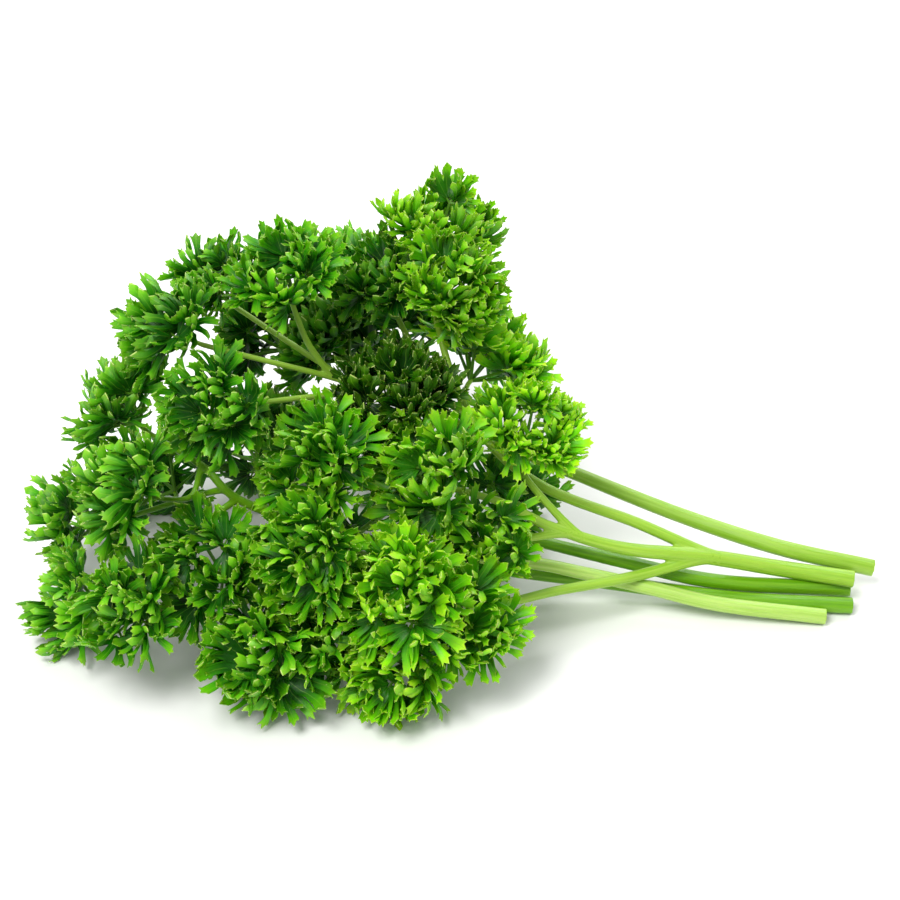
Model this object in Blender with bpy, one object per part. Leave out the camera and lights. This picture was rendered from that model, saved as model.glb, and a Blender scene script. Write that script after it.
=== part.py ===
"""A bunch of curly parsley lying on its side: five cut sprigs, each a forked stalk and its curly leaf heads.

The stalks' cut ends point along +X, the leafy end is at -X, and the bunch rests on the plane z = 0.
Every stalk is one grown, forked piece. Every leaf head is a closed solid of the outer shape of one curly
leaflet: a pleated crown whose underside sits on the tip of its own stem.
The tables below are in millimetres, measured on the table top that the bunch lies on.
"""

import math

import bmesh
import bpy
from mathutils import Matrix, Vector

MM = 0.001

# Stalks
CUT_RADIUS = 1.90          # a stalk where it was cut
FORK_SHARE = 0.74          # a side stem's radius, as a share of the stem that it grows from
TIP_RADIUS = 0.65          # a stem where it meets its leaf head
TAPER_POWER = 1.6          # how long a stem stays thick before it thins
STALK_SIDES = 8
STEM_SIDES = 6
ROUTE_STEP = 7.0           # distance between two rings of a stem
TIP_GAP = 0.4              # clearance between a stem's tip and its leaf head
ARRIVAL = 2.5              # the last straight stretch of a stem, along the leaf head's axis

# Leaf heads
HEAD_HEIGHT = 1.02         # a leaf head's height, as a share of its radius
HEAD_SEAT = 0.50           # its centre's height above the stem's tip, as a share of its radius
LOBES = 6
STEPS_PER_LOBE = 3
UPWARD_LEAN = 0.35         # how far a head turns up from its stem's direction, to the light
# Each ring is (share of the radius, share of the height, depth of the lobes, rise of the pleats).
HEAD_RINGS = (
    (0.46, 0.10, 0.03, 0.02),
    (0.90, 0.32, 0.13, 0.05),
    (0.96, 0.56, 0.12, 0.09),
    (0.74, 0.84, -0.05, -0.03),
    (0.36, 1.00, 0.04, 0.05),
)

LEAF_ROUGHNESS = 0.5
STALK_ROUGHNESS = 0.4
# Each sprig's own greens: (its leaf heads, its stalk).
GREENS = {
    "sprig1": ((0.040, 0.214, 0.006, 1.0), (0.263, 0.507, 0.059, 1.0)),
    "sprig2": ((0.018, 0.133, 0.005, 1.0), (0.254, 0.477, 0.059, 1.0)),
    "sprig3": ((0.024, 0.171, 0.005, 1.0), (0.133, 0.342, 0.014, 1.0)),
    "sprig4": ((0.033, 0.195, 0.005, 1.0), (0.448, 0.674, 0.171, 1.0)),
    "sprig5": ((0.024, 0.155, 0.006, 1.0), (0.195, 0.448, 0.040, 1.0)),
}

# One row for each leaf head of a sprig: the head's name, the head whose stem it forks from and where along
# that stem, from 0 at its start to 1 at its head, the points that its own stem passes, the head's centre,
# its radius, and a lean that turns the head. The first stem of a sprig starts at its cut end.
SPRIGS = {
    "sprig1": (
        ("a", None, 0.0, ((98.6, -4.3, 5.9), (80.9, -2.0, 7.4), (61.1, -4.0, 12.8), (41.4, -6.0, 16.8),
                          (24.3, -8.0, 24.6), (12.0, -8.0, 32.0)),
         (-5.0, -16.0, 47.0), 12.5, (-0.1, -0.6, 0.3)),
        ("b", "a", 0.63, ((18.5, -2.0, 34.0),), (17.8, 3.0, 48.0), 13.5, (0.3, -0.3, 0.2)),
        ("c", "a", 0.66, (), (9.0, -19.0, 29.0), 11.5, (0.2, -0.5, 0.2)),
        ("d", "a", 0.31, ((46.0, 0.0, 19.5), (20.5, 3.0, 29.9), (5.0, 16.0, 40.0), (-3.0, 31.0, 57.0)),
         (0.0, 44.0, 81.0), 13.5, (0.2, -0.2, 0.4)),
        ("e", "d", 0.80, (), (3.5, 24.0, 67.0), 11.5, (0.4, -0.5, 0.1)),
        ("f", "d", 0.62, (), (13.5, 33.0, 48.0), 12.0, (0.4, 0.1, 0.3)),
        ("g", "a", 0.33, ((47.6, -8.0, 10.7), (39.8, -12.0, 11.7), (25.1, -18.0, 13.2), (12.6, -24.0, 14.5),
                          (2.0, -27.0, 17.0)), (-10.0, -42.5, 31.5), 12.5, (-0.1, -0.5, 0.4)),
        ("h", "g", 0.72, (), (6.0, -39.0, 21.0), 11.0, (0.3, -0.4, 0.2)),
        ("i", "g", 0.84, (), (-12.0, -51.0, 9.5), 12.0, (0.0, -0.4, 0.2)),
    ),
    "sprig2": (
        ("a", None, 0.0, ((104.0, 0.0, 6.0), (80.7, 3.0, 10.2), (57.1, 11.0, 14.0), (30.4, 19.0, 21.4),
                          (5.0, 25.0, 30.0), (-24.4, 22.0, 45.9), (-33.0, 22.0, 55.0)),
         (-39.0, 25.0, 76.0), 14.5, (0.0, -0.2, 0.4)),
        ("b", "a", 0.82, (), (-60.0, 40.0, 65.0), 12.0, (-0.3, 0.0, 0.3)),
        ("c", "a", 0.84, (), (-65.0, 14.0, 67.0), 12.0, (-0.3, -0.1, 0.3)),
        ("d", "a", 0.80, (), (-54.0, -7.0, 58.0), 12.0, (-0.1, -0.6, 0.0)),
        ("e", "a", 0.66, (), (-15.5, 39.0, 64.0), 12.0, (0.0, -0.2, 0.4)),
        ("f", "e", 0.35, (), (-24.0, 60.0, 54.0), 12.5, (0.0, 0.4, 0.3)),
        ("g", "a", 0.60, (), (-6.0, 52.0, 38.0), 12.0, (0.1, 0.4, 0.1)),
        ("h", "a", 0.78, (), (-50.0, 50.0, 43.0), 12.5, (-0.1, 0.4, 0.1)),
        ("i", "a", 0.63, (), (-28.0, 44.0, 44.0), 8.5, (-0.1, 0.2, 0.2)),
    ),
    "sprig3": (
        ("a", None, 0.0, ((98.1, -3.0, 1.9), (66.1, -4.0, 4.8), (43.0, -2.0, 9.4), (21.6, 2.0, 12.8),
                          (-2.0, 0.0, 22.0), (-16.0, -4.0, 32.0)),
         (-30.0, -14.0, 48.0), 12.5, (-0.1, -0.5, 0.3)),
        ("b", "a", 0.80, (), (-12.0, 6.0, 54.0), 12.0, (0.1, -0.2, 0.2)),
        ("c", "a", 0.82, (), (-34.0, -32.0, 33.5), 12.0, (-0.2, -0.5, 0.2)),
        ("d", "a", 0.56, (), (14.0, 24.0, 10.0), 12.0, (0.2, 0.3, 0.0)),
        ("e", "a", 0.66, (), (-12.0, 36.0, 11.0), 12.5, (0.0, 0.3, 0.0)),
        ("f", "a", 0.72, (), (-38.0, 47.0, 11.0), 12.5, (0.0, 0.3, 0.0)),
    ),
    "sprig4": (
        ("a", None, 0.0, ((90.7, -13.8, 1.9), (65.3, -12.0, 4.3), (48.5, -9.0, 6.9), (32.5, -6.0, 9.1),
                          (17.4, -6.0, 12.5), (-10.0, -10.0, 17.0), (-38.0, -14.0, 18.0)),
         (-56.0, -27.0, 27.0), 12.5, (-0.2, -0.4, 0.3)),
        ("b", "a", 0.78, (), (-45.0, -47.0, 12.0), 14.0, (-0.1, -0.4, 0.2)),
        ("c", "a", 0.82, ((-54.0, -26.0, 13.0),), (-75.0, -37.0, 24.0), 12.5, (-0.2, -0.4, 0.3)),
        ("d", "a", 0.72, (), (-30.0, 8.0, 10.5), 12.0, (-0.2, 0.2, 0.0)),
        ("e", "a", 0.66, (), (-26.0, -36.0, 15.0), 7.5, (-0.1, -0.4, 0.2)),
    ),
    "sprig5": (
        ("a", None, 0.0, ((97.8, -9.6, 1.9), (70.0, -8.0, 2.6), (40.0, -4.0, 4.5), (8.0, -3.0, 9.0),
                          (-22.0, -6.0, 20.0), (-48.0, -10.0, 33.2), (-58.0, -6.0, 41.0)),
         (-79.0, 14.0, 45.0), 12.5, (-0.2, -0.2, 0.4)),
        ("b", "a", 0.86, ((-60.0, -13.0, 37.5),), (-76.0, -10.0, 38.0), 13.0, (-0.2, -0.5, 0.3)),
        ("c", "a", 0.82, (), (-94.0, 4.0, 20.0), 12.5, (-0.4, 0.0, 0.2)),
        ("d", "a", 0.80, (), (-93.0, -22.0, 11.0), 13.0, (-0.4, -0.2, 0.2)),
        ("e", "a", 0.76, (), (-49.0, 26.0, 25.0), 12.0, (0.0, 0.3, 0.1)),
        ("f", "c", 0.40, (), (-72.0, 32.0, 10.5), 12.5, (-0.2, 0.3, 0.1)),
    ),
}


def clear_scene():
    for old in list(bpy.data.objects):
        bpy.data.objects.remove(old)


def material(name, colour, roughness):
    made = bpy.data.materials.new(name)
    made.use_nodes = True
    shader = made.node_tree.nodes["Principled BSDF"]
    shader.inputs["Base Color"].default_value = colour
    shader.inputs["Roughness"].default_value = roughness
    shader.inputs["Metallic"].default_value = 0.0
    return made


def spline_point(before, start, end, after, share):
    """A point of the Catmull-Rom curve between start and end."""
    square = share * share
    cube = square * share
    return 0.5 * (
        2.0 * start
        + (end - before) * share
        + (2.0 * before - 5.0 * start + 4.0 * end - after) * square
        + (3.0 * start - before - 3.0 * end + after) * cube
    )


def smooth_route(points, lead_in):
    """Evenly stepped points on a smooth curve through points. lead_in is the point before the first."""
    ends = [lead_in, *points, 2.0 * points[-1] - points[-2]]
    route = [points[0]]
    for before, start, end, after in zip(ends, ends[1:], ends[2:], ends[3:]):
        steps = max(1, round((end - start).length / ROUTE_STEP))
        route += [spline_point(before, start, end, after, step / steps) for step in range(1, steps + 1)]
    return route


def point_along(route, share):
    """(the point, the direction) at that share of a route's length."""
    lengths = [(b - a).length for a, b in zip(route, route[1:])]
    left = share * sum(lengths)
    for start, end, length in zip(route, route[1:], lengths):
        if left <= length:
            return start.lerp(end, left / length), (end - start).normalized()
        left -= length
    return route[-1], (route[-1] - route[-2]).normalized()


def radius_along(start_radius, share):
    return TIP_RADIUS + (start_radius - TIP_RADIUS) * (1.0 - share**TAPER_POWER)


def ring_frames(route):
    """A frame for each ring of a tube, turned as little as possible from one ring to the next."""
    tangents = [(b - a).normalized() for a, b in zip(route, route[1:])]
    tangents = [tangents[0], *[(a + b).normalized() for a, b in zip(tangents, tangents[1:])], tangents[-1]]
    side = tangents[0].cross(Vector((0.0, 0.0, 1.0))).normalized()
    frames = []
    for tangent in tangents:
        side = (side - tangent * side.dot(tangent)).normalized()
        frames.append((side, tangent.cross(side)))
    return frames


def tube_mesh(name, route, start_radius, sides):
    """A closed tube along the route, with flat ends."""
    bm = bmesh.new()
    rings = []
    lengths = [0.0]
    for start, end in zip(route, route[1:]):
        lengths.append(lengths[-1] + (end - start).length)
    for centre, (side, up), length in zip(route, ring_frames(route), lengths):
        radius = radius_along(start_radius, length / lengths[-1])
        ring = []
        for step in range(sides):
            turn = 2.0 * math.pi * step / sides
            reach = radius * (math.cos(turn) * side + math.sin(turn) * up)
            ring.append(bm.verts.new((centre + reach) * MM))
        rings.append(ring)
    for lower, upper in zip(rings, rings[1:]):
        for step in range(sides):
            after = (step + 1) % sides
            bm.faces.new((lower[step], lower[after], upper[after], upper[step]))
    bm.faces.new(list(reversed(rings[0])))
    bm.faces.new(rings[-1])
    bmesh.ops.recalc_face_normals(bm, faces=bm.faces)
    mesh = bpy.data.meshes.new(name)
    bm.to_mesh(mesh)
    bm.free()
    mesh.shade_smooth()
    return mesh


def head_mesh(name, tip, facing, radius):
    """A pleated crown that stands on the stem's tip and opens along facing, flat where it meets the table."""
    height = HEAD_HEIGHT * radius
    steps = LOBES * STEPS_PER_LOBE
    bm = bmesh.new()
    bottom = bm.verts.new((0.0, 0.0, 0.0))
    top = bm.verts.new((0.0, 0.0, 0.96 * height))
    rings = []
    for out, up, lobe, pleat in HEAD_RINGS:
        ring = []
        for step in range(steps):
            turn = 2.0 * math.pi * step / steps
            wave = math.cos(LOBES * turn)
            reach = radius * (out + lobe * wave)
            lift = height * (up + pleat * wave)
            ring.append(bm.verts.new((reach * math.cos(turn), reach * math.sin(turn), lift)))
        rings.append(ring)
    for step in range(steps):
        after = (step + 1) % steps
        bm.faces.new((bottom, rings[0][after], rings[0][step]))
        bm.faces.new((top, rings[-1][step], rings[-1][after]))
        for lower, upper in zip(rings, rings[1:]):
            bm.faces.new((lower[step], lower[after], upper[after], upper[step]))
    turned = Matrix.Translation(tip) @ facing.to_track_quat("Z", "Y").to_matrix().to_4x4()
    bmesh.ops.transform(bm, matrix=Matrix.Scale(MM, 4) @ turned, verts=bm.verts)
    if min(vert.co.z for vert in bm.verts) < 0.0:
        whole = [*bm.verts, *bm.edges, *bm.faces]
        cut = bmesh.ops.bisect_plane(bm, geom=whole, plane_co=(0, 0, 0), plane_no=(0, 0, 1), clear_inner=True)
        rim = [part for part in cut["geom_cut"] if isinstance(part, bmesh.types.BMEdge)]
        bmesh.ops.contextual_create(bm, geom=rim)
    bmesh.ops.recalc_face_normals(bm, faces=bm.faces)
    mesh = bpy.data.meshes.new(name)
    bm.to_mesh(mesh)
    bm.free()
    mesh.shade_smooth()
    mesh.set_sharp_from_angle(angle=math.radians(50.0))
    return mesh


def add_object(name, mesh, finish, collection, bunch):
    made = bpy.data.objects.new(name, mesh)
    mesh.materials.append(finish)
    collection.objects.link(made)
    made.parent = bunch
    return made


def build_sprig(sprig, rows, bunch):
    """One sprig: the first stem is the stalk itself, and the other stems are joined to it as one piece."""
    scene = bpy.context.scene.collection
    leaf_green, stalk_green = GREENS[sprig]
    leaf_finish = material(sprig + "_leaves", leaf_green, LEAF_ROUGHNESS)
    stalk_finish = material(sprig + "_stalk", stalk_green, STALK_ROUGHNESS)
    forks = bpy.data.collections.new(sprig + "_forks")
    scene.children.link(forks)
    grown = {}
    for name, parent, share, via, centre, radius, lean in rows:
        points = [Vector(point) for point in via]
        if parent:
            parent_route, parent_radius = grown[parent]
            start, along = point_along(parent_route, share)
            lead_in = start - ROUTE_STEP * along
            points = [start, *points]
            start_radius = FORK_SHARE * radius_along(parent_radius, share)
        else:
            lead_in = 2.0 * points[0] - points[1]
            start_radius = CUT_RADIUS
        centre = Vector(centre)
        growth = (centre - points[-1]).normalized()
        facing = (growth + Vector(lean) + Vector((0.0, 0.0, UPWARD_LEAN))).normalized()
        seat = centre - HEAD_SEAT * radius * facing
        tip = seat - TIP_GAP * facing
        route = smooth_route([*points, tip - ARRIVAL * facing, tip], lead_in)
        grown[name] = (route, start_radius)
        head = sprig + "_leaf_" + name
        add_object(head, head_mesh(head, seat, facing, radius), leaf_finish, scene, bunch)
        sides = STEM_SIDES if parent else STALK_SIDES
        stem = tube_mesh(sprig + "_stem_" + name, route, start_radius, sides)
        if parent:
            fork = add_object(sprig + "_fork_" + name, stem, stalk_finish, forks, bunch)
            fork.hide_render = True
            fork.display_type = "WIRE"
        else:
            stalk = add_object(sprig + "_stalk", stem, stalk_finish, scene, bunch)
    join = stalk.modifiers.new("grown together", "BOOLEAN")
    join.operation = "UNION"
    join.operand_type = "COLLECTION"
    join.collection = forks


def centre_on_origin(bunch):
    """Moves the bunch so that the middle of its underside is the origin."""
    bpy.context.view_layer.update()
    shown = [part for part in bunch.children if not part.hide_render]
    corners = [vert.co for part in shown for vert in part.data.vertices]
    low = Vector([min(corner[axis] for corner in corners) for axis in range(3)])
    high = Vector([max(corner[axis] for corner in corners) for axis in range(3)])
    bunch.location = (-(low.x + high.x) / 2.0, -(low.y + high.y) / 2.0, -low.z)


def build_bunch():
    clear_scene()
    bunch = bpy.data.objects.new("parsley_bunch", None)
    bpy.context.scene.collection.objects.link(bunch)
    for sprig, rows in SPRIGS.items():
        build_sprig(sprig, rows, bunch)
    centre_on_origin(bunch)


build_bunch()
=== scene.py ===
import math
import random

import bmesh
import bpy
import numpy as np
from mathutils import Matrix, Vector
from mathutils.kdtree import KDTree


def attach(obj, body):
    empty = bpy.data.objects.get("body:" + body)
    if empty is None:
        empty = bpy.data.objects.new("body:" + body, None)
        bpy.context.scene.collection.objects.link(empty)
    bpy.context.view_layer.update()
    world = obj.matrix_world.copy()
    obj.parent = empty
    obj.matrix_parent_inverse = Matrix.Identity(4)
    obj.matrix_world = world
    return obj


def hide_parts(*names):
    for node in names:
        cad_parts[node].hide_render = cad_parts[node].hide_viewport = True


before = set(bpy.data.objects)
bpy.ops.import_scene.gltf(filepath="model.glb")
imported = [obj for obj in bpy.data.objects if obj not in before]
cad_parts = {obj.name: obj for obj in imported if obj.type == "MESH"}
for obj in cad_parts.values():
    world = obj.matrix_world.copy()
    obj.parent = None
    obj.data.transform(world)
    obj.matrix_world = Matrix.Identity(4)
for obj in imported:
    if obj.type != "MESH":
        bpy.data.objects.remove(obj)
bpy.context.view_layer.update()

# A bunch of cut curly parsley. Every leaf head is built from lobes of three curled fingers, joined
# into fans and set round the end of its stem. Every stalk is a ridged, forked stem, smooth at its forks.

MM = 0.001
SPRIG_NAMES = ("sprig1", "sprig2", "sprig3", "sprig4", "sprig5")

# A finger of a leaf, in mm. It points along +Y with its upper side up, and its blade rows are as wide
# as the angle between two fingers lets them be, so that neighbours meet there.
FINGER_TURN = math.radians(23.0)
BLADE_ROWS = (0.8, 2.3, 3.8)
FREE_ROWS = ((1.5, 1.35), (1.6, 1.60), (1.1, 1.95))
TOOTH_REACH = 1.3
FINGER_LENGTH = BLADE_ROWS[-1] + sum(step for step, width in FREE_ROWS) + TOOTH_REACH
BLADE_PLEAT = 0.30
FINGER_CUP = 0.42
LEAF_THICKNESS = 0.13
MERGE_REACH = 0.03
SMOOTH_ANGLE = math.radians(65.0)
# How near a row or a rib a point has to be to belong to it, in mm.
ROW_REACH = 0.1
RIB_REACH = 0.02
# After the end row is divided, its points stand at the rib, half way out and all the way out.
INNER_SHARE = 0.25
OUTER_SHARE = 0.75
# How far each free row of a finger is turned up, how far the whole finger twists, in degrees, and its
# teeth: how far the side teeth stand out and forward, and how deep the notches beside the middle tooth
# are, in mm. A notch below 0 stands out, and rounds the finger's end.
FINGER_KINDS = {
    "easy": ((5.0, 10.0, 14.0, 14.0), 5.0, (1.12, 0.74, 0.46)),
    "curled": ((10.0, 18.0, 26.0, 22.0), -6.0, (0.70, 0.58, -0.10)),
    "straight": ((2.0, 4.0, 8.0, 10.0), 8.0, (1.20, 0.80, 0.56)),
    "hooked": ((4.0, 14.0, 34.0, 30.0), -4.0, (0.74, 0.62, -0.04)),
    "arched": ((-10.0, -8.0, 4.0, 14.0), 6.0, (1.10, 0.72, 0.46)),
    "narrow": ((8.0, 8.0, 10.0, 16.0), -8.0, (0.62, 0.54, -0.12)),
}
# The fingers of each kind of lobe, with how far the blade cups across and bows along, per mm.
LOBE_KINDS = {
    "open": (("easy", "straight", "narrow"), 0.030, 0.012),
    "cupped": (("curled", "easy", "hooked"), 0.070, 0.010),
    "wavy": (("arched", "hooked", "easy"), -0.035, 0.026),
    "full": (("narrow", "straight", "curled"), 0.045, 0.020),
    "loose": (("straight", "arched", "easy"), 0.020, -0.010),
}
# The lobes of each kind of fan: (the lobe, its turn across the fan, its roll, its lift, its size).
FAN_KINDS = {
    "three": (
        ("cupped", -50.0, 34.0, 12.0, 0.86),
        ("full", 0.0, 0.0, 0.0, 1.0),
        ("open", 52.0, -32.0, 10.0, 0.88),
    ),
    "ruffled": (
        ("open", -46.0, 52.0, 22.0, 0.84),
        ("wavy", 4.0, 8.0, -6.0, 1.0),
        ("cupped", 50.0, -44.0, 16.0, 0.80),
    ),
    "broad": (
        ("open", -78.0, 26.0, 14.0, 0.74),
        ("loose", -38.0, 16.0, -4.0, 0.92),
        ("full", 0.0, -4.0, 6.0, 1.0),
        ("open", 42.0, -20.0, -2.0, 0.90),
        ("cupped", 80.0, -30.0, 16.0, 0.74),
    ),
    "tight": (
        ("cupped", -40.0, 60.0, 26.0, 0.80),
        ("open", -4.0, -6.0, 10.0, 0.92),
        ("wavy", 42.0, -56.0, 24.0, 0.82),
    ),
    "plain": (
        ("wavy", -36.0, 20.0, 8.0, 0.84),
        ("loose", 2.0, 4.0, -4.0, 1.0),
        ("cupped", 44.0, -24.0, 14.0, 0.80),
    ),
}

# The tufts of a head: how far out and up their middles stand, as shares of the head's reach, how far
# they sway round it, how they rise and how much their distance varies.
HEAD_SPREAD = 1.22
TUFT_OUT = 0.38
TUFT_UP = 0.16
TUFT_SWAY = 0.25
LOW_RISE = (6.0, 38.0)
TOP_RISE = (78.0, 90.0)
TUFT_VARY = (0.85, 1.15)
# The fans of a tuft: how far they lean from its middle, how far they sway and roll, how much their
# lean, size and lightness vary, how far down one may point and how far it is then lifted.
GOLDEN_TURN = math.radians(137.5)
TUFT_CONE = math.radians(86.0)
FIRST_FAN = 0.4
LEAN_VARY = (0.85, 1.1)
FAN_SWAY = 0.4
LOWEST_FAN = -0.35
LIFT_LOW_FAN = 0.5
INWARD_SHARE = 0.4
SIZE_VARY = (0.88, 1.12)
LIGHT_VARY = (0.70, 1.30)
FAN_ROLL = 24.0
OUTER_FANS = ("three", "broad", "plain", "ruffled")
INNER_FANS = ("ruffled", "tight", "three", "plain")
INNER_FROM = 0.6
# How far a fan's foot stands off its tuft's middle and how far its little stalk runs into it, in mm,
# the little stalks' radius, and how thick those of tufts and fans are beside it.
FAN_OFF = 0.7
STALK_INTO_FAN = 0.8
LEAF_STALK_RADIUS = 0.42
LEAF_STALK_TAPER = 0.7
LEAF_STALK_SIDES = 5
TUFT_STALK = 1.2
FAN_STALK = 0.8
# The ruffle of a head's fingers, its strength and its scale, and how softly a head lies down, in mm.
RUFFLE = 1.9
RUFFLE_SCALE = 7.0
SOFT_LEAF = 2.0
# How a head grows: how many tufts stand round its middle one, how many fans each has, the fans' size,
# how light they are (painted light and shade, as well as their own tone), the head's reach, and how far
# it has settled from the end of its stem, in mm.
HEAD_HABIT = (5, 3, 1.20, 1.0, 1.06, (0.0, 0.0, 0.0))
HEAD_HABITS = {
    "sprig1_leaf_a": (6, 3, 1.22, 1.05, 1.20, (0.0, -1.0, -1.0)),
    "sprig1_leaf_b": (9, 4, 0.92, 1.65, 1.16, (1.0, 0.0, -1.0)),
    "sprig1_leaf_c": (5, 3, 1.10, 1.20, 1.12, (0.0, 0.0, 0.0)),
    "sprig1_leaf_d": (8, 4, 0.96, 1.25, 1.12, (-2.0, 0.0, -3.0)),
    "sprig1_leaf_e": (7, 4, 1.00, 1.15, 1.20, (-3.0, 0.0, 3.5)),
    "sprig1_leaf_f": (8, 4, 1.16, 2.00, 1.45, (-5.0, 0.0, -2.5)),
    "sprig1_leaf_g": (6, 3, 1.25, 1.55, 1.15, (-1.0, 1.0, 0.0)),
    "sprig1_leaf_h": (5, 3, 1.15, 1.30, 1.08, (-2.0, 0.0, 0.0)),
    "sprig1_leaf_i": (5, 3, 1.15, 1.50, 0.90, (0.0, 5.0, 1.5)),
    "sprig2_leaf_a": (6, 4, 1.08, 1.35, 1.05, (0.0, 0.0, -1.0)),
    "sprig2_leaf_b": (5, 4, 1.02, 0.95, 1.00, (1.0, 0.0, -1.0)),
    "sprig2_leaf_e": (6, 4, 1.08, 0.80, 1.12, (0.0, 0.0, 0.0)),
    "sprig2_leaf_g": (6, 4, 1.16, 0.95, 1.30, (-6.0, 0.0, 3.0)),
    "sprig2_leaf_h": (6, 4, 1.16, 0.65, 1.25, (4.0, 0.0, 0.0)),
    "sprig2_leaf_i": (8, 4, 1.16, 0.85, 1.75, (0.0, 0.0, -2.0)),
    "sprig3_leaf_a": (6, 3, 1.20, 1.15, 1.18, (0.0, 0.0, 0.0)),
    "sprig3_leaf_b": (7, 4, 1.20, 0.32, 1.25, (0.0, 0.0, -3.0)),
    "sprig3_leaf_c": (6, 3, 1.18, 1.10, 1.18, (2.0, 0.0, 0.0)),
    "sprig4_leaf_a": (6, 3, 1.18, 0.98, 1.18, (0.0, -1.0, 0.0)),
    "sprig4_leaf_b": (5, 3, 1.42, 1.00, 0.82, (1.0, 4.5, 2.5)),
    "sprig4_leaf_c": (5, 3, 1.18, 1.00, 1.08, (2.0, 1.0, 0.0)),
    "sprig4_leaf_e": (5, 3, 1.15, 0.90, 1.70, (0.0, 0.0, 2.0)),
    "sprig5_leaf_b": (6, 3, 1.18, 1.08, 1.20, (1.0, -1.0, 0.0)),
    "sprig5_leaf_c": (5, 3, 1.12, 1.08, 1.02, (2.5, 0.0, 0.0)),
    "sprig5_leaf_d": (5, 3, 1.12, 1.22, 1.02, (3.5, 1.0, 0.0)),
    "sprig5_leaf_e": (6, 4, 1.15, 0.60, 1.35, (0.0, 0.0, 0.0)),
}


def link(name, mesh):
    made = bpy.data.objects.new(name, mesh)
    bpy.context.scene.collection.objects.link(made)
    return made


def pick(*objects):
    """Selects only these objects, the last one active."""
    bpy.ops.object.select_all(action="DESELECT")
    for each in objects:
        each.select_set(True)
    bpy.context.view_layer.objects.active = objects[-1]


def select_where(wanted):
    """In edit mode, selects the vertices whose place is wanted."""
    mesh = bpy.context.edit_object.data
    bm = bmesh.from_edit_mesh(mesh)
    for part in (*bm.faces, *bm.edges, *bm.verts):
        part.select = False
    for vert in bm.verts:
        vert.select = bool(wanted(vert.co))
    bm.select_flush(True)
    bmesh.update_edit_mesh(mesh)


def turn(degrees, axis, centre):
    """In edit mode, turns what is selected by the right-hand rule about an axis through centre."""
    bpy.ops.transform.rotate(value=-math.radians(degrees), orient_axis=axis, orient_type="GLOBAL",
                             center_override=centre)


def apply_all(piece):
    pick(piece)
    for modifier in list(piece.modifiers):
        bpy.ops.object.modifier_apply(modifier=modifier.name)


def joined(name, pieces):
    """One object of several, with its own mesh."""
    pick(*pieces)
    if len(pieces) > 1:
        bpy.ops.object.join()
    made = bpy.context.view_layer.objects.active
    made.name = name
    made.data.name = name
    return made


def placed_copy(piece, matrix):
    """A copy with its own mesh, moved in its mesh."""
    mesh = piece.data.copy()
    mesh.transform(matrix)
    return link(piece.name + "_copy", mesh)


def discard(pieces):
    for piece in pieces:
        mesh = piece.data
        bpy.data.objects.remove(piece)
        bpy.data.meshes.remove(mesh)


# Leaves


def move_picked(along=0.0, up=0.0):
    """In edit mode, moves what is selected along and up from a finger, in mm."""
    bpy.ops.transform.translate(value=(0.0, along * MM, up * MM))


def widen_picked(times):
    """In edit mode, scales what is selected across a finger."""
    bpy.ops.transform.resize(value=(times, 1.0, 1.0), center_override=(0.0, 0.0, 0.0))


def draw_finger(kind, side_out):
    """A finger's flat outline: a small grid whose far edge is drawn out row by row."""
    bpy.ops.object.select_all(action="DESELECT")
    bpy.ops.mesh.primitive_grid_add(x_subdivisions=2, y_subdivisions=1, size=MM)
    finger = bpy.context.object
    finger.name = "finger_" + kind
    bpy.ops.object.mode_set(mode="EDIT")
    widths = [2.0 * reach * math.tan(FINGER_TURN / 2.0) for reach in BLADE_ROWS]
    select_where(lambda co: co.y > 0.0)
    widen_picked(widths[1])
    move_picked(along=BLADE_ROWS[1] - 0.5)
    select_where(lambda co: co.y < 0.0)
    widen_picked(widths[0])
    move_picked(along=BLADE_ROWS[0] + 0.5)
    last_blade = (BLADE_ROWS[2] - BLADE_ROWS[1], widths[2])
    width_before = widths[1]
    select_where(lambda co: co.y > (BLADE_ROWS[1] - ROW_REACH) * MM)
    for step, width in (last_blade, *FREE_ROWS, (TOOTH_REACH, 2.0 * side_out)):
        bpy.ops.mesh.extrude_region_move(TRANSFORM_OT_translate={"value": (0.0, step * MM, 0.0)})
        widen_picked(width / width_before)
        width_before = width
    return finger


def cut_teeth(finger, side_out, side_forward, notch_depth):
    """Divides the end row in four, then sets back its side teeth and the notches between."""
    tips = (FINGER_LENGTH - ROW_REACH / 2.0) * MM
    select_where(lambda co: co.y > tips)
    bpy.ops.mesh.subdivide(number_cuts=1)
    mark_finger(finger)
    back = side_forward - TOOTH_REACH
    select_where(lambda co: co.y > tips and abs(co.x) > OUTER_SHARE * side_out * MM)
    move_picked(along=back)
    select_where(lambda co: co.y > tips and abs(co.x) > INNER_SHARE * side_out * MM)
    move_picked(along=back / 2.0 - notch_depth)


def mark_finger(finger):
    """Marks each point: red away from the rib, green towards the tip, and alpha at the teeth."""
    bpy.ops.object.mode_set(mode="OBJECT")
    mesh = finger.data
    tips = (FINGER_LENGTH - ROW_REACH) * MM
    half_width = max(vert.co.x for vert in mesh.vertices if vert.co.y > tips)
    marks = mesh.color_attributes.new("leaf_marks", "FLOAT_COLOR", "POINT")
    for vert, mark in zip(mesh.vertices, marks.data):
        beside = 0.0 if abs(vert.co.x) < RIB_REACH * MM else 1.0
        share = abs(vert.co.x) / half_width
        toothed = vert.co.y > tips and not INNER_SHARE < share < OUTER_SHARE
        along = vert.co.y / (FINGER_LENGTH * MM)
        mark.color = (beside, along, 0.0, 1.0 if toothed else 0.0)
    bpy.ops.object.mode_set(mode="EDIT")


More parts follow.
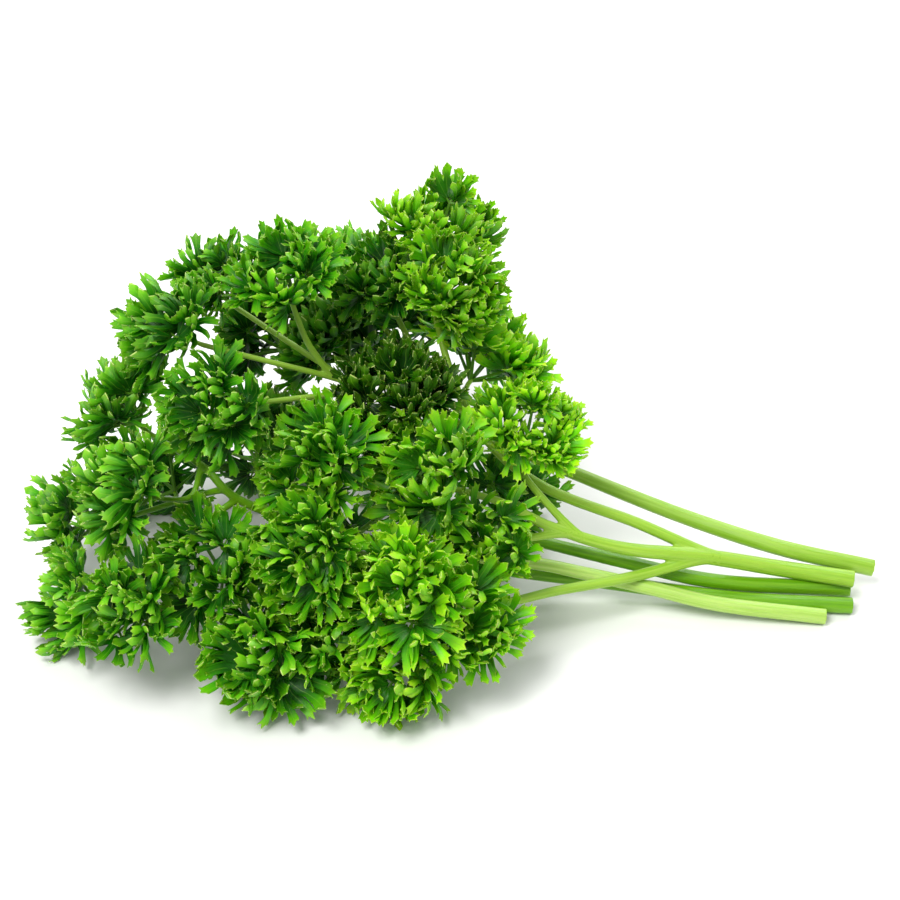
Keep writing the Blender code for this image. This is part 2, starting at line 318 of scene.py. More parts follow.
def cup_finger():
    """Raises the two sides of the blade and of the free part above the rib."""
    blade_end = (BLADE_ROWS[-1] + ROW_REACH) * MM
    select_where(lambda co: abs(co.x) > RIB_REACH * MM and co.y < blade_end)
    move_picked(up=BLADE_PLEAT)
    select_where(lambda co: abs(co.x) > RIB_REACH * MM and co.y > blade_end)
    move_picked(up=FINGER_CUP)


def curl_finger(bends, twist):
    """Turns up and twists each free row, from the tip back to the blade."""
    ends = [BLADE_ROWS[-1]]
    for step, _ in FREE_ROWS:
        ends.append(ends[-1] + step)
    for end, bend in reversed(list(zip(ends, bends))):
        select_where(lambda co: co.y > (end + ROW_REACH) * MM)
        turn(bend, "X", (0.0, end * MM, 0.0))
        turn(twist, "Y", (0.0, end * MM, 0.0))


def model_finger(kind, bends, twist, teeth):
    """One finger, drawn flat, toothed, cupped and curled."""
    finger = draw_finger(kind, teeth[0])
    cut_teeth(finger, *teeth)
    cup_finger()
    curl_finger(bends, twist)
    bpy.ops.object.mode_set(mode="OBJECT")
    return finger


def model_lobe(kind, fingers, finger_names, cup, bow):
    """Fingers side by side, merged along their blades and given a thickness."""
    copies = []
    for place, finger_name in enumerate(finger_names):
        side = place - (len(finger_names) - 1) / 2.0
        turned = Matrix.Rotation(side * FINGER_TURN, 4, "Z")
        copies.append(placed_copy(fingers[finger_name], turned))
    lobe = joined("lobe_" + kind, copies)
    bpy.ops.object.mode_set(mode="EDIT")
    bpy.ops.mesh.select_all(action="SELECT")
    bpy.ops.mesh.remove_doubles(threshold=MERGE_REACH * MM)
    bm = bmesh.from_edit_mesh(lobe.data)
    marks = bm.verts.layers.float_color["leaf_marks"]
    for vert in bm.verts:
        vert[marks].z = 1.0 if vert.is_boundary else 0.0
        vert.co.z += (cup * vert.co.x**2 + bow * vert.co.y**2) / MM
    bmesh.update_edit_mesh(lobe.data)
    bpy.ops.object.mode_set(mode="OBJECT")
    thick = lobe.modifiers.new("leaf thickness", "SOLIDIFY")
    thick.thickness = LEAF_THICKNESS * MM
    thick.offset = 0.0
    apply_all(lobe)
    bpy.ops.object.shade_smooth_by_angle(angle=SMOOTH_ANGLE)
    return lobe


def model_fan(kind, lobes, rows):
    """Lobes that spread from one foot, the outer ones rolled up towards the middle one."""
    copies = []
    for lobe_name, across, roll, lift, size in rows:
        place = (
            Matrix.Rotation(-math.radians(across), 4, "Z")
            @ Matrix.Rotation(math.radians(lift), 4, "X")
            @ Matrix.Rotation(math.radians(roll), 4, "Y")
            @ Matrix.Scale(size, 4)
        )
        copies.append(placed_copy(lobes[lobe_name], place))
    fan = joined("fan_" + kind, copies)
    fan.data.attributes.new("tone", "FLOAT", "POINT")
    return fan


def model_fans():
    fingers = {kind: model_finger(kind, *shape) for kind, shape in FINGER_KINDS.items()}
    lobes = {kind: model_lobe(kind, fingers, *shape) for kind, shape in LOBE_KINDS.items()}
    fans = {kind: model_fan(kind, lobes, rows) for kind, rows in FAN_KINDS.items()}
    discard([*fingers.values(), *lobes.values()])
    return fans


class Head:
    """A leaf head's place, read from its CAD node: its foot, the way it faces and its radius."""

    def __init__(self, name, stalk_tree):
        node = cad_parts[name]
        points = [node.matrix_world @ vert.co for vert in node.data.vertices]
        self.name = name
        seat = min(points, key=lambda point: stalk_tree.find(point)[2])
        middle = sum(points, Vector()) / len(points)
        self.facing = (middle - seat).normalized()
        self.foot = seat + MM * Vector(HEAD_HABITS.get(name, HEAD_HABIT)[-1])
        offsets = [point - middle for point in points]
        self.radius = max((offset - self.facing * offset.dot(self.facing)).length for offset in offsets)


def point_tree(points):
    tree = KDTree(len(points))
    for number, point in enumerate(points):
        tree.insert(point, number)
    tree.balance()
    return tree


def read_heads(sprig):
    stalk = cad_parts[sprig + "_stalk"]
    stalk_tree = point_tree([stalk.matrix_world @ vert.co for vert in stalk.data.vertices])
    names = [name for name in sorted(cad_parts) if name.startswith(sprig + "_leaf_")]
    return [Head(name, stalk_tree) for name in names]


def tuft_heading(number, tufts, first, axis):
    """(the way out from the head's middle, the way a tuft points). The last tuft is the middle one."""
    if number < tufts:
        sway = chance.uniform(-TUFT_SWAY, TUFT_SWAY)
        around = first + 2.0 * math.pi * number / tufts + sway
        rise = math.radians(chance.uniform(*LOW_RISE))
    else:
        around = 0.0
        rise = math.radians(chance.uniform(*TOP_RISE))
    outward = Matrix.Rotation(around, 3, axis) @ axis.orthogonal().normalized()
    return outward, math.cos(rise) * outward + math.sin(rise) * axis


def build_fan(number, fans_each, centre, axis, outward, heading, size, light):
    """One fan of a tuft, with its little stalk."""
    spread = math.sqrt((number + FIRST_FAN) / fans_each)
    lean = TUFT_CONE * spread * chance.uniform(*LEAN_VARY)
    sweep = number * GOLDEN_TURN + chance.uniform(-FAN_SWAY, FAN_SWAY)
    side = Matrix.Rotation(sweep, 3, heading) @ heading.orthogonal().normalized()
    pointing = (math.cos(lean) * heading + math.sin(lean) * side).normalized()
    if pointing.dot(axis) < LOWEST_FAN:
        pointing = (pointing + LIFT_LOW_FAN * axis).normalized()
    upper = axis - INWARD_SHARE * outward
    upper = (upper - pointing * upper.dot(pointing)).normalized()
    scale = size * chance.uniform(*SIZE_VARY)
    start = centre + FAN_OFF * MM * pointing
    place = fan_place(start, pointing, upper, chance.gauss(0.0, FAN_ROLL), scale)
    kinds = OUTER_FANS if pointing.dot(axis) < INNER_FROM else INNER_FANS
    fan = placed_copy(fans[chance.choice(kinds)], place)
    # A fan's tone: its head's lightness, which is painted light and shade, times a random tone of its own.
    tone = light * chance.uniform(*LIGHT_VARY)
    fan.data.attributes["tone"].data.foreach_set("value", [tone] * len(fan.data.vertices))
    inside = start + STALK_INTO_FAN * MM * scale * pointing
    return fan, leaf_stalk_between(centre, inside, FAN_STALK)


def build_head(head):
    """A leaf head: tufts of fans set round and over the end of the stem."""
    tufts, fans_each, size, light, spread, _ = HEAD_HABITS.get(head.name, HEAD_HABIT)
    reach = head.radius * HEAD_SPREAD * spread
    axis = head.facing
    first = chance.uniform(0.0, 2.0 * math.pi)
    parts = []
    for tuft in range(tufts + 1):
        outward, heading = tuft_heading(tuft, tufts, first, axis)
        out = TUFT_OUT * chance.uniform(*TUFT_VARY)
        centre = head.foot + reach * (TUFT_UP * axis + out * heading)
        parts.append(leaf_stalk_between(head.foot, centre, TUFT_STALK))
        for number in range(fans_each):
            parts += build_fan(number, fans_each, centre, axis, outward, heading, size, light)
    leaf = joined(head.name.replace("_leaf_", "_curly_leaf_"), parts)
    ruffle(leaf)
    lay_on_table(leaf, SOFT_LEAF * MM)
    return leaf


def fan_place(start, pointing, upper, roll, scale):
    """Where a fan goes: its foot at start, along pointing, its upper side towards upper, then rolled."""
    turned = Matrix((pointing.cross(upper), pointing, upper)).transposed().to_4x4()
    rolled = Matrix.Rotation(math.radians(roll), 4, "Y")
    return Matrix.Translation(start) @ turned @ rolled @ Matrix.Scale(scale, 4)


def model_leaf_stalk():
    """The little stalk of a fan: a thin cone of unit length along +Z."""
    bpy.ops.object.select_all(action="DESELECT")
    thick = LEAF_STALK_RADIUS * MM
    bpy.ops.mesh.primitive_cone_add(vertices=LEAF_STALK_SIDES, radius1=thick,
                                    radius2=LEAF_STALK_TAPER * thick, depth=1.0)
    bpy.ops.object.mode_set(mode="EDIT")
    bpy.ops.mesh.select_all(action="SELECT")
    bpy.ops.transform.translate(value=(0.0, 0.0, 0.5))
    bpy.ops.object.mode_set(mode="OBJECT")
    bpy.ops.object.shade_smooth_by_angle(angle=SMOOTH_ANGLE)
    stalk = bpy.context.object
    mesh = stalk.data
    marks = mesh.color_attributes.new("leaf_marks", "FLOAT_COLOR", "POINT")
    marks.data.foreach_set("color", [0.0, 0.3, 0.0, 0.0] * len(mesh.vertices))
    tone = mesh.attributes.new("tone", "FLOAT", "POINT")
    tone.data.foreach_set("value", [1.0] * len(mesh.vertices))
    return stalk


def leaf_stalk_between(start, end, thick):
    along = end - start
    turned = along.to_track_quat("Z", "Y").to_matrix().to_4x4()
    stretched = Matrix.Diagonal((thick, thick, along.length, 1.0))
    return placed_copy(leaf_stalk, Matrix.Translation(start) @ turned @ stretched)


def ruffle(leaf):
    """Bends the fingers a little, each in its own way."""
    cloud = bpy.data.textures.new("ruffle", "CLOUDS")
    cloud.noise_scale = RUFFLE_SCALE * MM
    cloud.cloud_type = "COLOR"
    bend = leaf.modifiers.new("ruffle", "DISPLACE")
    bend.texture = cloud
    bend.direction = "RGB_TO_XYZ"
    bend.strength = RUFFLE * MM
    bend.mid_level = 0.5
    apply_all(leaf)


def lay_on_table(piece, soft):
    """Presses what would be below the table top flat on it, from the height soft down."""
    mesh = piece.data
    points = np.empty(len(mesh.vertices) * 3, np.float32)
    mesh.vertices.foreach_get("co", points)
    height = points[2::3]
    low = height < soft
    height[low] = soft * np.exp((height[low] - soft) / soft)
    mesh.vertices.foreach_set("co", points)
    mesh.update()


fans = model_fans()
leaf_stalk = model_leaf_stalk()
chance = random.Random(7)
leaves = {}
for sprig in SPRIG_NAMES:
    for head in read_heads(sprig):
        leaves[head.name] = build_head(head)
discard([*fans.values(), leaf_stalk])


# Stalks

# One row for each stem of a sprig: the head it ends in, the stem it forks from and where along it, and
# the points it passes, in mm. The first stem of a sprig starts at its cut end.
STEMS = {
    "sprig1": (
        ("a", None, 0.0, (
            (97.5, -10.2, 5.9), (79.8, -7.9, 7.4), (60.0, -9.9, 12.8), (40.3, -11.9, 16.8),
            (23.2, -13.9, 24.6), (10.9, -13.9, 32.0),
        )),
        ("b", "a", 0.63, ((17.4, -7.9, 34.0),)),
        ("c", "a", 0.66, ()),
        ("d", "a", 0.31, (
            (44.9, -5.9, 19.5), (19.4, -2.9, 29.9), (3.9, 10.1, 40.0), (-4.1, 25.1, 57.0),
        )),
        ("e", "d", 0.8, ()),
        ("f", "d", 0.62, ()),
        ("g", "a", 0.33, (
            (46.5, -13.9, 10.7), (38.7, -17.9, 11.7), (24.0, -23.9, 13.2), (11.5, -29.9, 14.5),
            (0.9, -32.9, 17.0),
        )),
        ("h", "g", 0.72, ()),
        ("i", "g", 0.84, ()),
    ),
    "sprig2": (
        ("a", None, 0.0, (
            (102.9, -5.9, 6.0), (79.6, -2.9, 10.2), (56.0, 5.1, 14.0), (29.3, 13.1, 21.4),
            (3.9, 19.1, 30.0), (-25.5, 16.1, 45.9), (-34.1, 16.1, 55.0),
        )),
        ("b", "a", 0.82, ()),
        ("c", "a", 0.84, ()),
        ("d", "a", 0.8, ()),
        ("e", "a", 0.66, ()),
        ("f", "e", 0.35, ()),
        ("g", "a", 0.6, ()),
        ("h", "a", 0.78, ()),
        ("i", "a", 0.63, ()),
    ),
    "sprig3": (
        ("a", None, 0.0, (
            (97.0, -8.9, 1.9), (65.0, -9.9, 4.8), (41.9, -7.9, 9.4), (20.5, -3.9, 12.8),
            (-3.1, -5.9, 22.0), (-17.1, -9.9, 32.0),
        )),
        ("b", "a", 0.8, ()),
        ("c", "a", 0.82, ()),
        ("d", "a", 0.56, ()),
        ("e", "a", 0.66, ()),
        ("f", "a", 0.72, ()),
    ),
    "sprig4": (
        ("a", None, 0.0, (
            (89.6, -19.7, 1.9), (64.2, -17.9, 4.3), (47.4, -14.9, 6.9), (31.4, -11.9, 9.1),
            (16.3, -11.9, 12.5), (-11.1, -15.9, 17.0), (-39.1, -19.9, 18.0),
        )),
        ("b", "a", 0.78, ()),
        ("c", "a", 0.82, ((-55.1, -31.9, 13.0),)),
        ("d", "a", 0.72, ()),
        ("e", "a", 0.66, ()),
    ),
    "sprig5": (
        ("a", None, 0.0, (
            (96.7, -15.5, 1.9), (68.9, -13.9, 2.6), (38.9, -9.9, 4.5), (6.9, -8.9, 9.0),
            (-23.1, -11.9, 20.0), (-49.1, -15.9, 33.2), (-59.1, -11.9, 41.0),
        )),
        ("b", "a", 0.86, ((-61.1, -18.9, 37.5),)),
        ("c", "a", 0.82, ()),
        ("d", "a", 0.8, ()),
        ("e", "a", 0.76, ()),
        ("f", "c", 0.4, ()),
    ),
}
# The stems' thickness in mm: at the cut ends, at the tips, how it tapers, what share of it a side stem
# has at its fork, and how far the fork flares.
CUT_RADII = {"sprig1": 2.15, "sprig2": 2.15, "sprig3": 2.05, "sprig4": 1.95, "sprig5": 2.05}
TIP_RADIUS = 0.66
TAPER_POWER = 1.6
FORK_SHARE = 0.76
FORK_FLARE = 0.30
FORK_REACH = 2.5
# How a stem runs, in mm: the step between its points, how it follows its parent before it forks off,
# how straight it comes to its head and how far it goes in.
STEM_STEP = 1.5
FORK_LEAD = 7.0
HEAD_LEAD = 3.0
INTO_HEAD = 0.6
# How far a stalk is made too long before it is cut, how fine it is, and how softly it lies, in mm.
OVER_CUT = 2.0
STALK_DETAIL = 0.34
SOFT_STALK = 0.3
# The ridges round a stalk 2 mm in radius, and how long the grain is beside its width.
RIDGES = 9
RIDGE_HEIGHT = 0.045
GRAIN_ALONG = 0.02
# A face is on the cut when it is this near its centre, in mm, and faces this much outward.
CUT_REACH = 4.0
CUT_FACING = 0.95


def spline_point(before, start, end, after, share):
    """A point of the Catmull-Rom curve between start and end."""
    square = share * share
    cube = square * share
    return 0.5 * (
        2.0 * start
        + (end - before) * share
        + (2.0 * before - 5.0 * start + 4.0 * end - after) * square
        + (3.0 * start - before - 3.0 * end + after) * cube
    )


def smooth_route(points, lead_in):
    """Evenly stepped points on a smooth curve through points. lead_in is before the first of them."""
    ends = [lead_in, *points, 2.0 * points[-1] - points[-2]]
    route = [points[0]]
    for before, start, end, after in zip(ends, ends[1:], ends[2:], ends[3:]):
        steps = max(2, round((end - start).length / STEM_STEP))
        for step in range(1, steps + 1):
            route.append(spline_point(before, start, end, after, step / steps))
    return route


def lengths_along(route):
    lengths = [0.0]
    for start, end in zip(route, route[1:]):
        lengths.append(lengths[-1] + (end - start).length)
    return lengths


def point_along(route, share):
    """(the point, the direction) at that share of a route's length."""
    lengths = lengths_along(route)
    wanted = share * lengths[-1]
    number = max(1, next(place for place, length in enumerate(lengths) if length >= wanted))
    start, end = route[number - 1], route[number]
    part = (wanted - lengths[number - 1]) / (lengths[number] - lengths[number - 1])
    return start.lerp(end, part), (end - start).normalized()


def radius_along(start_radius, share):
    return TIP_RADIUS + (start_radius - TIP_RADIUS) * (1.0 - share**TAPER_POWER)


def radii_along(route, thick, flare):
    """The radius at each point of a route: a taper, and a flare at its start."""
    lengths = lengths_along(route)
    radii = []
    for length in lengths:
        flared = 1.0 + flare * math.exp(-length / FORK_REACH)
        radii.append(radius_along(thick, length / lengths[-1]) * flared)
    return radii


def grow_stems(sprig, heads):
    """{the stem's name: (its route, its radius at each point)}, in mm."""
    grown = {}
    for name, parent, share, via in STEMS[sprig]:
        points = [Vector(point) for point in via]
        if parent:
            parent_route, parent_radii = grown[parent]
            start, along = point_along(parent_route, share)
            lead_in = start - FORK_LEAD * along
            points = [start, *points]
            thick = FORK_SHARE * parent_radii[round(share * (len(parent_radii) - 1))]
        else:
            lead_in = 2.0 * points[0] - points[1]
            thick = CUT_RADII[sprig]
        head = heads[name]
        foot = head.foot / MM
        points += [foot - HEAD_LEAD * head.facing, foot + INTO_HEAD * head.facing]
        route = smooth_route(points, lead_in)
        grown[name] = (route, radii_along(route, thick, FORK_FLARE if parent else 0.0))
    return grown


def stem_tube(name, route, radii):
    """A round tube along the route, with closed ends."""
    curve = bpy.data.curves.new(name, "CURVE")
    curve.dimensions = "3D"
    curve.bevel_depth = 1.0
    curve.bevel_resolution = 4
    curve.use_fill_caps = True
    line = curve.splines.new("POLY")
    line.points.add(len(route) - 1)
    for point, place, radius in zip(line.points, route, radii):
        point.co = (*(place * MM), 1.0)
        point.radius = radius * MM
    tube = bpy.data.objects.new(name, curve)
    bpy.context.scene.collection.objects.link(tube)
    pick(tube)
    bpy.ops.object.convert(target="MESH")
    return bpy.context.object


def grow_together(stalk):
    """Makes one smooth skin of a stalk's tubes."""
    grow = stalk.modifiers.new("grown together", "REMESH")
    grow.mode = "VOXEL"
    grow.voxel_size = STALK_DETAIL * MM
    grow.use_smooth_shade = True
    smooth = stalk.modifiers.new("smooth", "SMOOTH")
    smooth.factor = 0.5
    smooth.iterations = 5
    apply_all(stalk)


def build_stalk(sprig, heads):
    """A sprig's stalk: its stems grown together at the forks, cut square and finely ridged."""
    grown = grow_stems(sprig, heads)
    first_route, _ = grown["a"]
    cut_end = first_route[0]
    outward = (cut_end - first_route[1]).normalized()
    tubes = []
    for name, (route, radii) in grown.items():
        if name == "a":
            route = [cut_end + OVER_CUT * outward, *route]
            radii = [radii[0], *radii]
        tubes.append(stem_tube(sprig + "_stem_" + name, route, radii))
    stalk = joined(sprig + "_green_stalk", tubes)
    grow_together(stalk)
    bpy.ops.object.mode_set(mode="EDIT")
    bpy.ops.mesh.select_all(action="SELECT")
    bpy.ops.mesh.bisect(plane_co=cut_end * MM, plane_no=outward, use_fill=True, clear_outer=True)
    bpy.ops.object.mode_set(mode="OBJECT")
    lay_grain(stalk, grown)
    lay_on_table(stalk, SOFT_STALK * MM)
    mark_cut(stalk, cut_end * MM, outward)
    return stalk


def grain_samples(grown):
    """For each point of each stem: (it, the way to its side, the way up, its length along, its radius)."""
    samples = []
    for route, radii in grown.values():
        side = Vector((0.0, 1.0, 0.0))
        length = 0.0
        for place, point in enumerate(route):
            after = route[min(place + 1, len(route) - 1)]
            along = (after - route[max(place - 1, 0)]).normalized()
            side = -side.cross(along).cross(along).normalized()
            samples.append((point, side, along.cross(side), length, radii[place]))
            length += (after - point).length
    return samples


def lay_grain(stalk, grown):
    """Marks each point with its place round and along its stem, and raises the fine ridges."""
    samples = grain_samples(grown)
    tree = point_tree([sample[0] for sample in samples])
    mesh = stalk.data
    grain = mesh.attributes.new("grain", "FLOAT_VECTOR", "POINT")
    normals = [vert.normal.copy() for vert in mesh.vertices]
    for vert, mark, normal in zip(mesh.vertices, grain.data, normals):
        spot = vert.co / MM
        point, side, up, length, radius = samples[tree.find(spot)[1]]
        around = math.atan2((spot - point).dot(up), (spot - point).dot(side))
        mark.vector = (math.cos(around), math.sin(around), GRAIN_ALONG * length)
        height = RIDGE_HEIGHT * math.cos(RIDGES * around) * radius / 2.0
        vert.co += height * MM * normal


def mark_cut(stalk, centre, outward):
    """Gives the cut face its own finish slot and flat shading."""
    for face in stalk.data.polygons:
        near = (face.center - centre).length < CUT_REACH * MM
        on_cut = near and face.normal.dot(outward) > CUT_FACING
        face.material_index = 1 if on_cut else 0
        face.use_smooth = not on_cut


stalks = {}
for sprig in SPRIG_NAMES:
    heads = {head.name[-1]: head for head in read_heads(sprig)}
    stalks[sprig] = build_stalk(sprig, heads)


# Finishes


class Nodes:
    """Adds shader nodes to one material and links them."""

    def __init__(self, name):
        self.made = bpy.data.materials.new(name)
        self.made.use_nodes = True
        self.tree = self.made.node_tree
        self.shader = self.tree.nodes["Principled BSDF"]

    def add(self, kind, **settings):
        node = self.tree.nodes.new(kind)
        for name, value in settings.items():
            setattr(node, name, value)
        return node

    def feed(self, source, target):
        self.tree.links.new(source, target)

    def mix(self, share, first, second, way="MIX"):
        """A colour mix; share, first and second are each a socket or a value."""
        node = self.add("ShaderNodeMix", data_type="RGBA", blend_type=way)
        for place, value in ((0, share), (6, first), (7, second)):
            if isinstance(value, bpy.types.NodeSocket):
                self.feed(value, node.inputs[place])
            else:
                node.inputs[place].default_value = value
        return node.outputs[2]

    def ramp(self, share, *stops):
        node = self.add("ShaderNodeValToRGB")
        elements = node.color_ramp.elements
        while len(elements) < len(stops):
            elements.new(0.5)
        for element, (place, colour) in zip(elements, stops):
            element.position = place
            element.color = colour
        self.feed(share, node.inputs[0])
        return node.outputs[0]

    def noise(self, scale, detail=2.0, source=None):
        node = self.add("ShaderNodeTexNoise")
        node.inputs["Scale"].default_value = scale
        node.inputs["Detail"].default_value = detail
        if source is None:
            source = self.add("ShaderNodeTexCoord").outputs["Object"]
        self.feed(source, node.inputs["Vector"])
        return node.outputs["Fac"]

    def bump(self, height, strength, distance):
        node = self.add("ShaderNodeBump")
        node.inputs["Strength"].default_value = strength
        node.inputs["Distance"].default_value = distance
        self.feed(height, node.inputs["Height"])
        self.feed(node.outputs["Normal"], self.shader.inputs["Normal"])


def grey(level):
    return (level, level, level, 1.0)


# A warmer tint for the most lit heads: painted light.
LIT_LEAF_WARMTH = (1.06, 0.92, 1.0, 1.0)
RIB_GREEN = (0.21, 0.46, 0.03, 1.0)
POINT_GREEN = (0.66, 0.84, 0.26, 1.0)


def leaf_finish(name, deep, mid, light, tip):
    """Curly parsley: pale ribs and points, darker thin edges, and a green going from deep at the blades to
    light at the finger tips, painted shade inside the head and painted light at its outside.
    """
    nodes = Nodes(name)
    marks = nodes.add("ShaderNodeAttribute", attribute_name="leaf_marks")
    split = nodes.add("ShaderNodeSeparateColor")
    nodes.feed(marks.outputs["Color"], split.inputs[0])
    from_rib, along, rim = split.outputs
    # Deep at a finger's base, inside the head, and light at its tip: painted shade and painted light.
    green = nodes.ramp(along, (0.0, deep), (0.44, deep), (0.66, mid), (0.85, light), (1.0, tip))
    patches = nodes.ramp(nodes.noise(220.0, 3.0), (0.3, grey(0.68)), (0.7, grey(1.05)))
    green = nodes.mix(1.0, green, patches, "MULTIPLY")
    # The fan's tone lightens or darkens it: painted light and shade per head, with a random tone per fan.
    # The most lit heads are painted warmer too.
    tone = nodes.add("ShaderNodeAttribute", attribute_name="tone")
    green = nodes.mix(1.0, green, tone.outputs["Color"], "MULTIPLY")
    half_tone_and_shade = nodes.mix(1.0, tone.outputs["Color"], grey(0.5), "MULTIPLY")
    lit_warmth = nodes.ramp(half_tone_and_shade, (0.50, grey(1.0)), (0.95, LIT_LEAF_WARMTH))
    green = nodes.mix(1.0, green, lit_warmth, "MULTIPLY")
    rib = nodes.ramp(from_rib, (0.03, grey(0.40)), (0.11, grey(0.0)))
    green = nodes.mix(rib, green, RIB_GREEN)
    edge = nodes.ramp(rim, (0.86, grey(1.0)), (1.0, grey(0.80)))
    green = nodes.mix(1.0, green, edge, "MULTIPLY")
    point = nodes.ramp(marks.outputs["Alpha"], (0.78, grey(0.0)), (0.97, grey(0.85)))
    green = nodes.mix(point, green, POINT_GREEN)
    nodes.feed(green, nodes.shader.inputs["Base Color"])
    shine = nodes.ramp(nodes.noise(900.0, 2.0), (0.3, grey(0.36)), (0.7, grey(0.54)))
    nodes.feed(shine, nodes.shader.inputs["Roughness"])
    nodes.shader.inputs["Specular IOR Level"].default_value = 0.26
    nodes.shader.inputs["Subsurface Weight"].default_value = 0.35
    nodes.shader.inputs["Subsurface Radius"].default_value = (0.5, 1.0, 0.15)
    nodes.shader.inputs["Subsurface Scale"].default_value = 0.0012
    nodes.bump(nodes.noise(1400.0, 3.0), 0.25, 0.0003)
    return nodes.made


# The deep, middle, light and tip greens of each sprig's leaves, from a finger's base to its tip: the deep
# base is painted shade and the light tip painted light, over the leaf's own green.
LEAF_GREENS = {
    "sprig1": (
        (0.016, 0.130, 0.0005, 1.0),
        (0.066, 0.310, 0.001, 1.0),
        (0.165, 0.485, 0.003, 1.0),
        (0.270, 0.590, 0.014, 1.0),
    ),
    "sprig2": (
        (0.006, 0.084, 0.0008, 1.0),
        (0.027, 0.212, 0.001, 1.0),
        (0.105, 0.400, 0.004, 1.0),
        (0.200, 0.520, 0.018, 1.0),
    ),
    "sprig3": (
        (0.009, 0.108, 0.0005, 1.0),
        (0.048, 0.275, 0.001, 1.0),
        (0.140, 0.460, 0.003, 1.0),
        (0.240, 0.570, 0.014, 1.0),
    ),
    "sprig4": (
        (0.008, 0.100, 0.0005, 1.0),
        (0.040, 0.262, 0.001, 1.0),
        (0.125, 0.450, 0.003, 1.0),
        (0.230, 0.560, 0.014, 1.0),
    ),
    "sprig5": (
        (0.010, 0.104, 0.0015, 1.0),
        (0.042, 0.260, 0.003, 1.0),
        (0.125, 0.440, 0.007, 1.0),
        (0.240, 0.560, 0.026, 1.0),
    ),
}
for sprig in SPRIG_NAMES:
    finish = leaf_finish(sprig + "_leaf_green", *LEAF_GREENS[sprig])
    for name, leaf in leaves.items():
        if name.startswith(sprig):
            leaf.data.materials.clear()
            leaf.data.materials.append(finish)
            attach(leaf, "root")
            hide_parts(name)


def stalk_finish(name, low, high):
    """A stalk's skin: long pale and green streaks along it."""
    nodes = Nodes(name)
    grain = nodes.add("ShaderNodeAttribute", attribute_name="grain").outputs["Vector"]
    streaks = nodes.noise(2.2, 2.0, grain)
    colour = nodes.ramp(streaks, (0.30, low), (0.68, high))
    fine = nodes.ramp(nodes.noise(9.0, 2.0, grain), (0.35, grey(0.90)), (0.65, grey(1.0)))
    colour = nodes.mix(1.0, colour, fine, "MULTIPLY")
    nodes.feed(colour, nodes.shader.inputs["Base Color"])
    shine = nodes.ramp(nodes.noise(300.0), (0.3, grey(0.30)), (0.7, grey(0.44)))
    nodes.feed(shine, nodes.shader.inputs["Roughness"])
    nodes.shader.inputs["Specular IOR Level"].default_value = 0.35
    nodes.shader.inputs["Subsurface Weight"].default_value = 0.4
    nodes.shader.inputs["Subsurface Radius"].default_value = (0.7, 1.0, 0.2)
    nodes.shader.inputs["Subsurface Scale"].default_value = 0.0015
    nodes.bump(nodes.noise(14.0, 2.0, grain), 0.2, 0.0004)
    return nodes.made


CUT_GREEN = (0.42, 0.58, 0.16, 1.0)
CUT_PALE = (0.70, 0.80, 0.42, 1.0)


def cut_finish(name):
    """A cut face: pale and moist, with specks of the stalk's fibres."""
    nodes = Nodes(name)
    specks = nodes.noise(1600.0, 2.0)
    colour = nodes.ramp(specks, (0.35, CUT_GREEN), (0.6, CUT_PALE))
    nodes.feed(colour, nodes.shader.inputs["Base Color"])
    shine = nodes.ramp(specks, (0.3, grey(0.25)), (0.7, grey(0.4)))
    nodes.feed(shine, nodes.shader.inputs["Roughness"])
    nodes.bump(specks, 0.4, 0.0002)
    return nodes.made


# The green and the pale streaks of each sprig's stalk. sprig3's are darker, as painted shade, and sprig5's
# are as dark.
STALK_GREENS = {
    "sprig1": ((0.235, 0.480, 0.014, 1.0), (0.370, 0.600, 0.060, 1.0)),
    "sprig2": ((0.235, 0.470, 0.014, 1.0), (0.350, 0.570, 0.070, 1.0)),
    "sprig3": ((0.110, 0.330, 0.002, 1.0), (0.200, 0.450, 0.010, 1.0)),
    "sprig4": ((0.340, 0.580, 0.070, 1.0), (0.480, 0.690, 0.160, 1.0)),
    "sprig5": ((0.110, 0.330, 0.002, 1.0), (0.190, 0.440, 0.008, 1.0)),
}
for sprig, stalk in stalks.items():
    stalk.data.materials.clear()
    stalk.data.materials.append(stalk_finish(sprig + "_stalk_green", *STALK_GREENS[sprig]))
    stalk.data.materials.append(cut_finish(sprig + "_stalk_cut"))
    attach(stalk, "root")
    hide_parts(sprig + "_stalk")


# Stage


FLOOR_SIZE = 6.0
FLOOR_DROP = 0.2
# Each light: its name, where it stands and its size, in metres, its power in watts and its colour.
SOFT_LIGHTS = (
    ("key", (-0.35, -0.45, 0.95), 0.55, 11.0, (1.0, 0.99, 0.97)),
    ("back", (0.35, 0.75, 0.75), 0.6, 7.0, (1.0, 1.0, 1.0)),
)
LIT_POINT = (0.0, 0.0, 0.03)
ROOM_LIGHT = 0.62
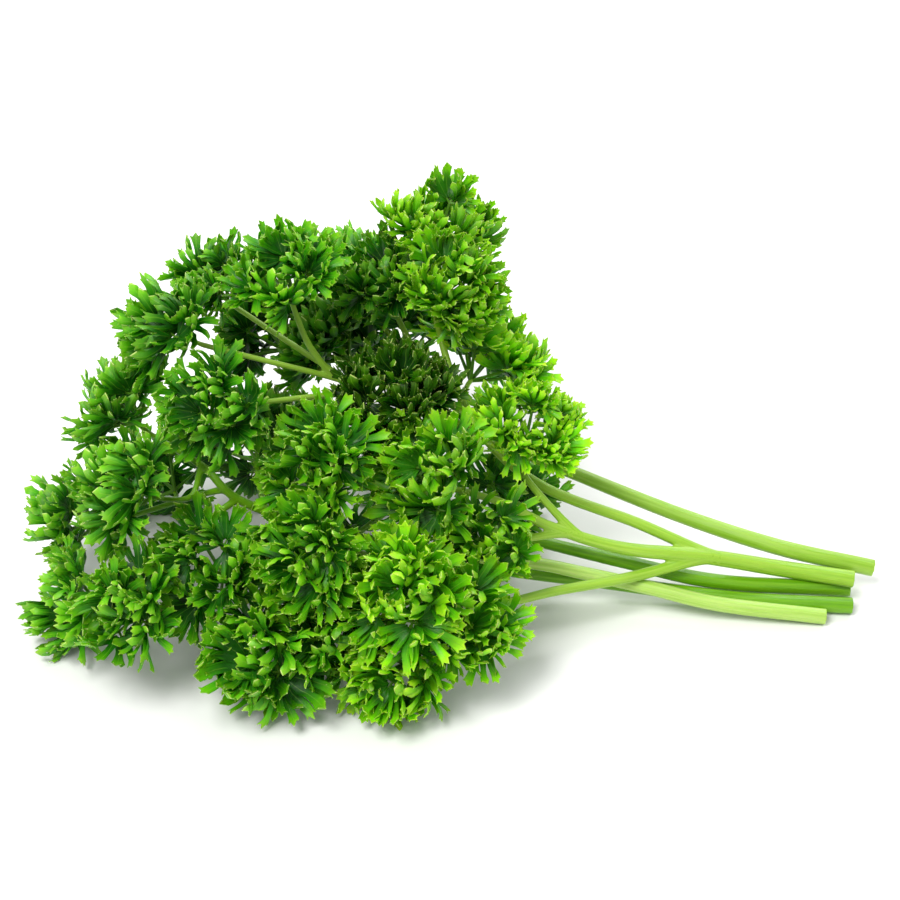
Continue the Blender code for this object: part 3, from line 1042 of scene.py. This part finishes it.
# The camera: what it looks at and how far it is from that, in mm, and how far down it looks.
LOOK_AT = (-1.1, -5.9, 41.4)
CAMERA_DISTANCE = 502.4
CAMERA_DOWN = math.radians(35.0)
LENS = 85.0

def stage_floor():
    bpy.ops.object.select_all(action="DESELECT")
    bpy.ops.mesh.primitive_plane_add(size=FLOOR_SIZE, location=(0.0, 0.0, -FLOOR_DROP * MM))
    floor = bpy.context.object
    floor.name = "floor"
    nodes = Nodes("floor_white")
    speckle = nodes.ramp(nodes.noise(40.0, 2.0), (0.3, grey(0.86)), (0.7, grey(0.90)))
    nodes.feed(speckle, nodes.shader.inputs["Base Color"])
    nodes.shader.inputs["Roughness"].default_value = 0.7
    floor.data.materials.append(nodes.made)


def soft_light(name, place, size, power, colour):
    light = bpy.data.lights.new(name, "AREA")
    light.shape = "DISK"
    light.size = size
    light.energy = power
    light.color = colour
    made = bpy.data.objects.new(name, light)
    made.location = place
    towards = Vector(LIT_POINT) - Vector(place)
    made.rotation_euler = towards.to_track_quat("-Z", "Y").to_euler()
    bpy.context.scene.collection.objects.link(made)


def stage_light():
    world = bpy.data.worlds.new("studio")
    world.use_nodes = True
    background = world.node_tree.nodes["Background"]
    background.inputs["Color"].default_value = (1.0, 1.0, 1.0, 1.0)
    background.inputs["Strength"].default_value = ROOM_LIGHT
    bpy.context.scene.world = world
    for row in SOFT_LIGHTS:
        soft_light(*row)


def stage_camera():
    """Looks down at the bunch from its front."""
    lens = bpy.data.cameras.new("camera")
    lens.lens = LENS
    lens.sensor_width = 36.0
    lens.clip_start = 0.01
    camera = bpy.data.objects.new("camera", lens)
    back = Vector((0.0, -math.cos(CAMERA_DOWN), math.sin(CAMERA_DOWN)))
    camera.location = (Vector(LOOK_AT) + CAMERA_DISTANCE * back) * MM
    camera.rotation_euler = (math.pi / 2.0 - CAMERA_DOWN, 0.0, 0.0)
    bpy.context.scene.collection.objects.link(camera)
    bpy.context.scene.camera = camera


stage_floor()
stage_light()
stage_camera()
bpy.context.scene.view_settings.view_transform = "Standard"
